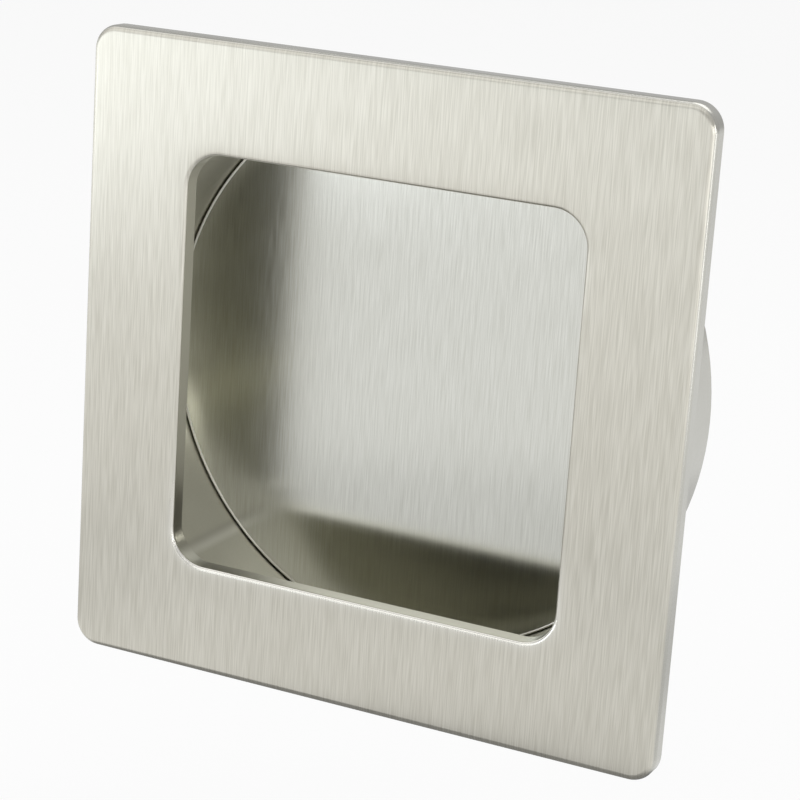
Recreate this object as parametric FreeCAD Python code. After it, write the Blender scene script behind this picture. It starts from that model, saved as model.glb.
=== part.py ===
# Square recessed pull: a face plate with a round collar behind it, and the disc that closes the collar.
# Millimetres. Z is up, the front faces -Y, and the origin is the centre of the plate's back face,
# on the axis of the collar, where the plate lies against the door.
import FreeCAD, Part
import math
import os

from FreeCAD import Vector

# Face plate
plate_side = 70.0
plate_thickness = 2.2
plate_corner_radius = 2.8
plate_edge_round = 0.7
plate_back_chamfer = 0.2

# Opening for the fingers
opening_side = 45.6
opening_corner_radius = 3.85
opening_edge_round = 0.4
opening_back_bevel = 0.2

# Collar that goes into the door
collar_diameter = 65.0
collar_wall = 1.5
collar_length = 12.8
collar_lead_in = 0.5

# Seat for the floor disc, a wider stretch of the bore at the back end of the collar
seat_width = 0.7
seat_edge_bevel = 0.15

# Floor disc: the flange fills the seat, and the boss stands in the bore with a narrow gap round it.
# A thin rim is turned up round the boss, and its slope faces the axis.
flange_thickness = 0.85
flange_clearance = 0.05
boss_height = 1.05
boss_gap = 0.18
rim_width = 0.12
rim_slope_width = 0.3
rim_height = 0.13

# Places worked out from the sizes above
front_y = -plate_thickness
collar_radius = collar_diameter / 2
bore_radius = collar_radius - collar_wall
seat_radius = bore_radius + seat_width
seat_y = collar_length - flange_thickness
floor_y = seat_y - boss_height

# How far a cutter runs past the surface it opens, and how closely a flat edge is found
overlap = 1.0
tolerance = 1e-4

AXIS = Vector(0, 1, 0)
CENTRE = Vector(0, 0, 0)


def rounded_square(side, corner_radius, y):
    """Closed wire of a square with round corners, centred on the axis at the given y."""
    half = side / 2
    flat = half - corner_radius
    mid = flat + corner_radius * math.sqrt(0.5)
    edges = []
    # One side and the corner that ends it, turned three more times about the axis.
    for quarter in range(4):
        c = round(math.cos(quarter * math.pi / 2))
        s = round(math.sin(quarter * math.pi / 2))

        def spot(x, z):
            return Vector(x * c - z * s, y, x * s + z * c)

        side_edge = Part.LineSegment(spot(half, -flat), spot(half, flat))
        corner_edge = Part.Arc(spot(half, flat), spot(mid, mid), spot(flat, half))
        edges += [side_edge.toShape(), corner_edge.toShape()]
    return Part.Wire(edges)


def rounded_square_prism(side, corner_radius, y_start, y_end):
    """Solid rounded-square bar between two depths."""
    face = Part.Face(rounded_square(side, corner_radius, y_start))
    return face.extrude(Vector(0, y_end - y_start, 0))


def turned(points):
    """Solid of revolution about the axis from a closed profile of radius and depth."""
    profile = Part.makePolygon([Vector(radius, y, 0) for radius, y in points + points[:1]])
    return Part.Face(profile).revolve(CENTRE, AXIS, 360)


def edges_at(shape, y, reach):
    """Edges that lie flat at one depth, no further than a reach from the axis along X."""
    found = []
    for edge in shape.Edges:
        box = edge.optimalBoundingBox()
        flat = abs(box.YMin - y) < tolerance and abs(box.YMax - y) < tolerance
        if flat and max(box.XMax, -box.XMin) < reach:
            found.append(edge)
    return found


def make_plate():
    """Square plate with round edges in front, a thin chamfer behind and the opening for the fingers."""
    plate = rounded_square_prism(plate_side, plate_corner_radius, front_y, 0)
    plate = plate.makeFillet(plate_edge_round, edges_at(plate, front_y, plate_side))
    plate = plate.makeChamfer(plate_back_chamfer, edges_at(plate, 0, plate_side))
    opening = rounded_square_prism(opening_side, opening_corner_radius, front_y - overlap, overlap)
    plate = plate.cut(opening)
    opening_reach = opening_side / 2 + opening_edge_round / 2
    return plate.makeFillet(opening_edge_round, edges_at(plate, front_y, opening_reach))


def make_collar():
    """Collar with its bore, the seat for the floor disc and a lead-in, turned from one profile."""
    points = [
        (bore_radius, 0),
        (collar_radius, 0),
        (collar_radius, collar_length - collar_lead_in),
        (collar_radius - collar_lead_in, collar_length),
        (seat_radius, collar_length),
        (seat_radius, seat_y),
        (bore_radius + seat_edge_bevel, seat_y),
        (bore_radius, seat_y - seat_edge_bevel),
    ]
    return turned(points)


def make_opening_bevel():
    """Cutter for the back edge of the opening, wide along the sides and fading out at the corners.

    The corners of the opening nearly touch the bore, so the wider outline at the back keeps the same
    reach along the diagonal: reach = (half side - corner radius) sqrt 2 + corner radius.
    """
    diagonal_reach = (opening_side / 2 - opening_corner_radius) * math.sqrt(2) + opening_corner_radius
    wide_side = opening_side + 2 * opening_back_bevel
    wide_corner_radius = (wide_side / 2 * math.sqrt(2) - diagonal_reach) / (math.sqrt(2) - 1)
    narrow = rounded_square(opening_side, opening_corner_radius, -opening_back_bevel)
    wide = rounded_square(wide_side, wide_corner_radius, 0)
    return Part.makeLoft([narrow, wide], True, True)


def make_face_plate():
    """Plate and collar as the one casting that they are."""
    casting = make_plate().fuse(make_collar()).removeSplitter()
    return casting.cut(make_opening_bevel())


def make_floor_disc():
    """Brushed floor of the cup: a boss that looks out of the bore and a flange that sits in the seat."""
    flange_radius = seat_radius - flange_clearance
    boss_radius = bore_radius - boss_gap
    points = [
        (0, floor_y),
        (boss_radius - rim_width - rim_slope_width, floor_y),
        (boss_radius - rim_width, floor_y - rim_height),
        (boss_radius, floor_y - rim_height),
        (boss_radius, seat_y),
        (flange_radius, seat_y),
        (flange_radius, collar_length),
        (0, collar_length),
    ]
    return turned(points)


def main():
    os.makedirs("parts", exist_ok=True)
    nodes = {
        "face_plate": make_face_plate(),
        "floor_disc": make_floor_disc(),
    }
    for name, shape in nodes.items():
        solid = shape.Solids[0]
        solid.exportStep("parts/" + name + ".step")
        box = solid.BoundBox
        size = (round(box.XLength, 3), round(box.YLength, 3), round(box.ZLength, 3))
        print(name, "valid", solid.isValid(), "solids", len(shape.Solids), "size", size)


main()
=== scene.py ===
import bpy
import math
import numpy as np
from mathutils import Matrix, Vector

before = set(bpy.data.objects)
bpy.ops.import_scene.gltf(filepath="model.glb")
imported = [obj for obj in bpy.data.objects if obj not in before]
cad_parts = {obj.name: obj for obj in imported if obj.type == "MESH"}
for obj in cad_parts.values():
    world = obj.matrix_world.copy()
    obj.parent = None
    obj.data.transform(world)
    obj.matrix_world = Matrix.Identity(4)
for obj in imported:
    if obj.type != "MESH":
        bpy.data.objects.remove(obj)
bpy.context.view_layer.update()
print("frame loaded:", sorted(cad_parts))


class Signal:
    # one shader socket that takes + - * and a few shapings, each adding its Math node

    def __init__(self, graph, socket):
        self.graph = graph
        self.socket = socket

    def maths(self, operation, *others):
        node = self.graph.node("ShaderNodeMath", {"operation": operation},
                               {place: value for place, value in enumerate(others)})
        return node.out(0)

    def __add__(self, other):
        return self.maths("ADD", self, other)

    def __sub__(self, other):
        return self.maths("SUBTRACT", self, other)

    def __mul__(self, other):
        return self.maths("MULTIPLY", self, other)

    def __radd__(self, other):
        return self.maths("ADD", other, self)

    def __rsub__(self, other):
        return self.maths("SUBTRACT", other, self)

    def __rmul__(self, other):
        return self.maths("MULTIPLY", other, self)

    def __rpow__(self, base):
        return self.maths("POWER", base, self)

    def size(self):
        return self.maths("ABSOLUTE", self)

    def power(self, exponent):
        return self.maths("POWER", self, exponent)

    def atLeast(self, floor):
        return self.maths("MAXIMUM", self, floor)

    def atMost(self, ceiling):
        return self.maths("MINIMUM", self, ceiling)

    def rise(self, start, end):
        # 0 below start, 1 above end, smooth between, also when end lies below start
        node = self.graph.node("ShaderNodeMapRange", {"interpolation_type": "SMOOTHSTEP"},
                               {"Value": self, "From Min": start, "From Max": end})
        return node.out(0)


class Part:
    # one placed node, whose outputs are picked by name or number

    def __init__(self, graph, node):
        self.graph = graph
        self.node = node

    def out(self, name):
        return Signal(self.graph, self.node.outputs[name])


class Graph:
    # node tree of one material or world

    def __init__(self, tree):
        self.tree = tree
        tree.nodes.clear()

    def node(self, kind, settings=None, values=None):
        node = self.tree.nodes.new(kind)
        for name, value in (settings or {}).items():
            setattr(node, name, value)
        for name, value in (values or {}).items():
            if isinstance(value, Signal):
                self.tree.links.new(value.socket, node.inputs[name])
            else:
                node.inputs[name].default_value = value
        return Part(self, node)

    def place(self):
        # X, Y and Z of the shaded point in the frame
        coordinates = self.node("ShaderNodeTexCoord").out("Object")
        split = self.node("ShaderNodeSeparateXYZ", None, {"Vector": coordinates})
        return coordinates, split.out("X"), split.out("Y"), split.out("Z")

    def noise(self, coordinates, scale, detail=2.0, roughness=0.5, offset=(0, 0, 0)):
        # noise whose cells are stretched by one scale per axis, in cells per metre
        stretched = self.node("ShaderNodeMapping", {"vector_type": "POINT"},
                              {"Vector": coordinates, "Location": offset, "Scale": scale})
        pattern = self.node("ShaderNodeTexNoise", {"noise_dimensions": "3D"},
                            {"Vector": stretched.out("Vector"), "Scale": 1.0,
                             "Detail": detail, "Roughness": roughness})
        return pattern.out("Fac")

    def blend(self, amount, first, second):
        # colour that goes from first to second
        return self.node("ShaderNodeMix", {"data_type": "RGBA"},
                         {0: amount, 6: first, 7: second}).out(2)

    def finishWith(self, kind, shader):
        self.node(kind, None, {"Surface": shader})


def squareDistance(x, z, side, corner):
    # distance from a rounded square, below 0 inside it: length(max(q, 0)) + min(max(qx, qz), 0)
    # - corner, where q is how far the point lies past the flat part of each side
    flat = side / 2 - corner
    beyondX = x.size() - flat
    beyondZ = z.size() - flat
    overX = beyondX.atLeast(0)
    overZ = beyondZ.atLeast(0)
    return (overX * overX + overZ * overZ).power(0.5) + beyondX.atLeast(beyondZ).atMost(0) - corner


def newMaterial(name):
    material = bpy.data.materials.new(name)
    material.use_nodes = True
    return material, Graph(material.node_tree)


def dress(nodeName, material):
    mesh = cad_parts[nodeName].data
    mesh.materials.clear()
    mesh.materials.append(material)


def brushMarks(graph, coordinates, brush):
    # fine upright streaks around 0: three widths of mark, each much longer than wide, and each
    # taken from its own part of the noise
    def layer(width, length, offset):
        return graph.noise(coordinates, (1 / width, 1 / length, 1 / length), 1.0, 0.5, offset) - 0.5

    fine = layer(brush["fineWidth"], brush["fineLength"], (3.1, 0.7, 1.9))
    middle = layer(brush["middleWidth"], brush["middleLength"], (7.3, 2.2, 5.1))
    broad = layer(brush["broadWidth"], brush["broadLength"], (1.7, 4.4, 8.3))
    return fine * brush["fineShare"] + middle * brush["middleShare"] + broad * brush["broadShare"]


# Upright brushing, shared by the front of the plate and the floor of the cup
brushing = {
    "fineWidth": 0.00013, "fineLength": 0.0045, "fineShare": 0.82,
    "middleWidth": 0.00035, "middleLength": 0.014, "middleShare": 0.15,
    "broadWidth": 0.0012, "broadLength": 0.03, "broadShare": 0.03,
}

# Face plate: brushed front with softly rolled edges, satin sides, a darker smooth bore
plateFinish = {
    "brushedColour": (0.69, 0.672, 0.60, 1),
    "brushedDark": (0.56, 0.543, 0.475, 1),
    "satinColour": (0.56, 0.555, 0.515, 1),
    "satinDark": (0.50, 0.495, 0.455, 1),
    "boreColour": (0.60, 0.585, 0.495, 1),
    "boreDark": (0.54, 0.525, 0.435, 1),
    # painted shade on the walls of the opening, and a painted highlight on its top and bottom walls
    "paintedLipShading": (0.47, 0.455, 0.385, 1),
    "levelLipHighlightColour": (0.80, 0.785, 0.70, 1),
    # painted highlight along the lower edge of the opening
    "edgeHighlightColour": (0.88, 0.87, 0.82, 1),
    "roughness": 0.34,
    "satinRoughness": 0.25,
    "boreRoughness": 0.29,
    "lipRoughness": 0.36,
    "glossAndHighlightWidth": 0.0004,
    "rubGloss": 0.17,
    "glossAndHighlightStart": (-0.008, -0.020),
    "anisotropy": 0.75,
    "streakContrast": 3.0,
    "brushHeight": 0.000005,
    "grainHeight": 0.0000006,
    "cloudSize": 1 / 60,
    "grainSize": 1 / 4500,
    "cloudShare": 0.7,
    "patchRange": (0.3, 0.7),
    "streakRoughness": 0.12,
    "cloudRoughness": 0.05,
    "castRoughness": 0.08,
    "rollHeight": 0.00006,
    "rollWidth": 0.0007,
    "frontY": -0.0022,
    "frontDepth": 0.00025,
    "side": 0.070,
    "sideCorner": 0.0028,
    "opening": 0.0456,
    "openingCorner": 0.00385,
    "lipDepth": (0.0005, 0.0003),
    "lipTurn": (-0.001, 0.001),
    "boreRadius": 0.0310,
    "boreDepth": (0.0009, 0.0005),
    "boreStart": (-0.0012, -0.0004),
}

# Floor disc: a little cooler and finer than the plate
discFinish = {
    "brushedColour": (0.69, 0.695, 0.65, 1),
    "brushedDark": (0.59, 0.593, 0.545, 1),
    "roughness": 0.21,
    "anisotropy": 0.88,
    "streakContrast": 2.9,
    "brushHeight": 0.000004,
    "cloudSize": 1 / 50,
    "streakRoughness": 0.12,
    "cloudRoughness": 0.05,
    # painted highlight on the thin rim
    "rimHighlightColour": (0.95, 0.94, 0.87, 1),
    "rimRoughness": 0.42,
    "rimStart": (0.03052, 0.03062),
    "rimDepth": (0.0114, 0.0111),
    "rimFoot": 0.0304,
    "rimFootWidth": 0.0002,
    "rimSlope": 0.433,
}


def plateMaterial(finish, brush):
    material, graph = newMaterial("satinPlate")
    coordinates, x, y, z = graph.place()
    marks = brushMarks(graph, coordinates, brush)

    # 1 on the brushed front, 1 in the bore behind it and 1 on the wall of the opening
    front = y.rise(finish["frontY"] + finish["frontDepth"], finish["frontY"] + finish["frontDepth"] / 2)
    radius = (x * x + z * z).power(0.5)
    bore = (radius - finish["boreRadius"]).rise(*finish["boreDepth"]) * y.rise(*finish["boreStart"])
    fromOpening = squareDistance(x, z, finish["opening"], finish["openingCorner"])
    lip = fromOpening.rise(*finish["lipDepth"]) * (1 - front)
    # 1 on the top and bottom walls of the opening, which get a painted highlight; the side walls keep the
    # darker painted shade
    highlitLevelLip = (z.size() - x.size()).rise(*finish["lipTurn"])
    # the lower edge of the opening is glossier and carries a painted highlight: e^(-distance / width)
    glossAndHighlight = math.e ** (fromOpening.atLeast(0) * (-1 / finish["glossAndHighlightWidth"])) * front
    glossAndHighlight = glossAndHighlight * z.rise(*finish["glossAndHighlightStart"])
    streak = (marks * finish["streakContrast"] + 0.5).atLeast(0).atMost(1)
    cloud = graph.noise(coordinates, (1 / finish["cloudSize"],) * 3, 3.0, 0.6)
    grain = graph.noise(coordinates, (1 / finish["grainSize"],) * 3, 2.0, 0.6)
    mottle = cloud * finish["cloudShare"] + grain * (1 - finish["cloudShare"])
    patches = mottle.rise(*finish["patchRange"])

    brushed = graph.blend(streak, finish["brushedDark"], finish["brushedColour"])
    satin = graph.blend(patches, finish["satinDark"], finish["satinColour"])
    inner = graph.blend(patches, finish["boreDark"], finish["boreColour"])
    # opening walls: painted shade on the sides, painted highlight on the top and bottom
    paintedLipShading = graph.blend(highlitLevelLip, finish["paintedLipShading"], finish["levelLipHighlightColour"])
    cast = graph.blend(lip, graph.blend(bore, satin, inner), paintedLipShading)
    # painted highlight blended onto the lower edge of the brushed front
    colour = graph.blend(front, cast, graph.blend(glossAndHighlight, brushed, finish["edgeHighlightColour"]))
    unevenness = marks * finish["streakRoughness"] + (cloud - 0.5) * finish["cloudRoughness"]
    roughBrushed = finish["roughness"] + unevenness - glossAndHighlight * finish["rubGloss"]
    roughCast = finish["satinRoughness"] + (finish["boreRoughness"] - finish["satinRoughness"]) * bore
    roughCast = roughCast + (finish["lipRoughness"] - finish["satinRoughness"]) * lip
    roughCast = roughCast + (cloud - 0.5) * finish["castRoughness"]
    roughness = roughCast + (roughBrushed - roughCast) * front

    # the edges of the front roll away softly, as buffing leaves them: depth = height e^(-distance / width)
    fromSide = -1 * squareDistance(x, z, finish["side"], finish["sideCorner"])
    edge = fromSide.atMost(fromOpening).atLeast(0)
    roll = math.e ** (edge * (-1 / finish["rollWidth"])) * front
    brushHeight = marks * finish["brushHeight"] * front
    grainHeight = (grain - 0.5) * finish["grainHeight"] * (1 - front) * (1 - bore)
    height = brushHeight + grainHeight - roll * finish["rollHeight"]
    bump = graph.node("ShaderNodeBump", None, {"Strength": 1.0, "Distance": 1.0, "Height": height})
    metal = graph.node("ShaderNodeBsdfPrincipled", None,
                       {"Base Color": colour, "Metallic": 1.0, "Roughness": roughness,
                        "Anisotropic": finish["anisotropy"], "Normal": bump.out("Normal")})
    graph.finishWith("ShaderNodeOutputMaterial", metal.out("BSDF"))
    return material


def discMaterial(finish, brush):
    material, graph = newMaterial("satinDisc")
    coordinates, x, y, z = graph.place()
    marks = brushMarks(graph, coordinates, brush)
    streak = (marks * finish["streakContrast"] + 0.5).atLeast(0).atMost(1)
    cloud = graph.noise(coordinates, (1 / finish["cloudSize"],) * 3, 3.0, 0.6, (5.0, 1.0, 2.0))
    colour = graph.blend(streak, finish["brushedDark"], finish["brushedColour"])
    unevenness = marks * finish["streakRoughness"] + (cloud - 0.5) * finish["cloudRoughness"]
    roughness = finish["roughness"] + unevenness

    # the thin rim carries a painted highlight and is rougher
    radius = (x * x + z * z).power(0.5)
    inFront = y.rise(*finish["rimDepth"])
    rim = radius.rise(*finish["rimStart"]) * inFront
    colour = graph.blend(rim, colour, finish["rimHighlightColour"])
    roughness = roughness + (finish["rimRoughness"] - roughness) * rim

    # the foot of the rim's slope is rubbed flat with the floor: depth = slope (r - foot), held past
    # the width
    foot = (radius - finish["rimFoot"]).atLeast(0).atMost(finish["rimFootWidth"]) * inFront
    height = marks * finish["brushHeight"] - foot * finish["rimSlope"]
    bump = graph.node("ShaderNodeBump", None, {"Strength": 1.0, "Distance": 1.0, "Height": height})
    metal = graph.node("ShaderNodeBsdfPrincipled", None,
                       {"Base Color": colour, "Metallic": 1.0, "Roughness": roughness,
                        "Anisotropic": finish["anisotropy"], "Normal": bump.out("Normal")})
    graph.finishWith("ShaderNodeOutputMaterial", metal.out("BSDF"))
    return material


dress("face_plate", plateMaterial(plateFinish, brushing))
dress("floor_disc", discMaterial(discFinish, brushing))
print("metals on:", "face_plate", "floor_disc")


# Studio: pale floor that curves up into a low backdrop, even world, soft boxes
studio = {
    "floorDrop": 0.06,
    "levelReach": 1.6,
    "floorReach": 3.0,
    "backdropHeight": 1.0,
    "floorColour": (0.9, 0.9, 0.9, 1),
    "floorGlow": 0.85,
    "glowColour": (1.0, 1.0, 1.0, 1),
    # painted shade and painted shadow on the floor, seen only in the metal
    "ringShadeColour": (0.79, 0.79, 0.79, 1),
    "ringStart": (0.09, 0.11),
    "ringEnd": (0.14, 0.165),
    "footShadowColour": (0.3, 0.3, 0.3, 1),
    "footEdge": (0.058, 0.046),
    "backdropColour": (0.6, 0.6, 0.6, 1),
    "backdropEdge": (1.4, 2.0),
    "worldColour": (1.0, 1.0, 1.0, 1),
    "worldStrength": 0.65,
    "softBoxes": {
        "lowStripLeft": {"at": (-0.325, -0.24, 0.0), "size": (0.34, 0.16), "watts": 0.27,
                         "colour": (0.88, 0.94, 1.0)},
        "lowStripRight": {"at": (0.36, -0.51, 0.04), "size": (0.2, 0.07), "watts": 0.26,
                          "colour": (1, 1, 1)},
        "edgeStripRight": {"at": (0.26, -0.08, -0.005), "size": (0.12, 0.1), "watts": 0.07,
                           "colour": (1, 1, 1)},
        "softBoxHigh": {"at": (-0.346, -0.443, 0.34), "size": (0.5, 0.45), "watts": 0.5,
                        "colour": (1, 1, 1)},
        "softBoxFront": {"at": (0.09, -0.46, 0.46), "size": (0.2, 0.2), "watts": 0.1,
                         "colour": (1, 1, 1)},
        "softBoxAbove": {"at": (0.1, 0.1, 0.6), "size": (0.5, 0.5), "watts": 1.2,
                         "colour": (1, 1, 1)},
    },
}


def gridSheet(name, surface, steps):
    # closed-form sheet: surface(u, v) gives its points for u and v from 0 to 1
    u, v = np.meshgrid(np.linspace(0, 1, steps + 1), np.linspace(0, 1, steps + 1), indexing="ij")
    points = surface(u, v).reshape(-1, 3)
    corner = (np.arange(steps)[:, None] * (steps + 1) + np.arange(steps)[None, :]).ravel()
    faces = np.stack([corner, corner + steps + 1, corner + steps + 2, corner + 1], 1)
    mesh = bpy.data.meshes.new(name)
    mesh.from_pydata(points.tolist(), [], faces.tolist())
    mesh.update()
    sheet = bpy.data.objects.new(name, mesh)
    bpy.context.scene.collection.objects.link(sheet)
    return sheet


def makeFloor(studio):
    # round floor: level out to levelReach, then rising as height ((r - level) / (reach - level))^2
    level, reach = studio["levelReach"], studio["floorReach"]

    def surface(u, v):
        angle, radius = 2 * np.pi * u, reach * v
        climb = np.maximum(radius - level, 0) / (reach - level)
        rise = studio["backdropHeight"] * climb ** 2
        return np.stack([radius * np.cos(angle), radius * np.sin(angle), rise - studio["floorDrop"]], -1)

    sheet = gridSheet("studioFloor", surface, 60)
    material, graph = newMaterial("paleFloor")
    rays = graph.node("ShaderNodeLightPath")
    mirrored = rays.out("Is Glossy Ray").atLeast(rays.out("Is Transmission Ray"))
    x, y = graph.place()[1:3]
    # in the metal the floor shows painted shadow: dark under the pull, with a faint grey ring of painted
    # shade round it, and ends in a pale grey backdrop
    distance = (x * x + y * y).power(0.5)
    ring = distance.rise(*studio["ringStart"]) * (1 - distance.rise(*studio["ringEnd"]))
    tint = graph.blend(ring * mirrored, studio["glowColour"], studio["ringShadeColour"])
    tint = graph.blend(distance.rise(*studio["footEdge"]) * mirrored, tint, studio["footShadowColour"])
    tint = graph.blend(distance.rise(*studio["backdropEdge"]) * mirrored, tint, studio["backdropColour"])
    seen = (rays.out("Is Camera Ray") * studio["floorGlow"]).atLeast(mirrored)
    paint = graph.node("ShaderNodeBsdfDiffuse", None, {"Color": studio["floorColour"]})
    glow = graph.node("ShaderNodeEmission", None, {"Color": tint, "Strength": 1.0})
    both = graph.node("ShaderNodeMixShader", None, {0: seen, 1: paint.out(0), 2: glow.out(0)})
    graph.finishWith("ShaderNodeOutputMaterial", both.out(0))
    sheet.data.materials.append(material)


def makeWorld(studio):
    world = bpy.data.worlds.new("studioWorld")
    bpy.context.scene.world = world
    world.use_nodes = True
    graph = Graph(world.node_tree)
    sky = graph.node("ShaderNodeBackground", None,
                     {"Color": studio["worldColour"], "Strength": studio["worldStrength"]})
    graph.finishWith("ShaderNodeOutputWorld", sky.out(0))


def makeSoftBox(name, box):
    lamp = bpy.data.lights.new(name, "AREA")
    lamp.shape = "RECTANGLE"
    lamp.size, lamp.size_y = box["size"]
    lamp.energy = box["watts"]
    lamp.color = box["colour"]
    holder = bpy.data.objects.new(name, lamp)
    bpy.context.scene.collection.objects.link(holder)
    holder.location = box["at"]
    holder.rotation_euler = (-Vector(box["at"])).to_track_quat("-Z", "Y").to_euler()


makeFloor(studio)
makeWorld(studio)
for boxName, box in studio["softBoxes"].items():
    makeSoftBox(boxName, box)
print("studio set: floor, world and", len(studio["softBoxes"]), "soft boxes")


# Camera: place and axes solved from the straight edges of the plate in the photograph
view = {
    "place": (0.109694, -0.226839, 0.069407),
    "right": (0.8946662, 0.4419916, 0.0649286),
    "down": (0.1749015, -0.2128138, -0.9613115),
    "ahead": (-0.4110739, 0.8714090, -0.2677023),
    "lens": 112.325,
    "sensorWidth": 36.0,
}


def makeCamera(view):
    camera = bpy.data.cameras.new("camera")
    camera.sensor_width = view["sensorWidth"]
    camera.lens = view["lens"]
    camera.clip_start = 0.01
    holder = bpy.data.objects.new("camera", camera)
    bpy.context.scene.collection.objects.link(holder)
    columns = [Vector(view["right"]), -Vector(view["down"]), -Vector(view["ahead"])]
    turn = Matrix(columns).transposed().to_4x4()
    holder.matrix_world = Matrix.Translation(view["place"]) @ turn
    bpy.context.scene.camera = holder


makeCamera(view)
bpy.context.scene.view_settings.view_transform = "Standard"
print("camera placed")
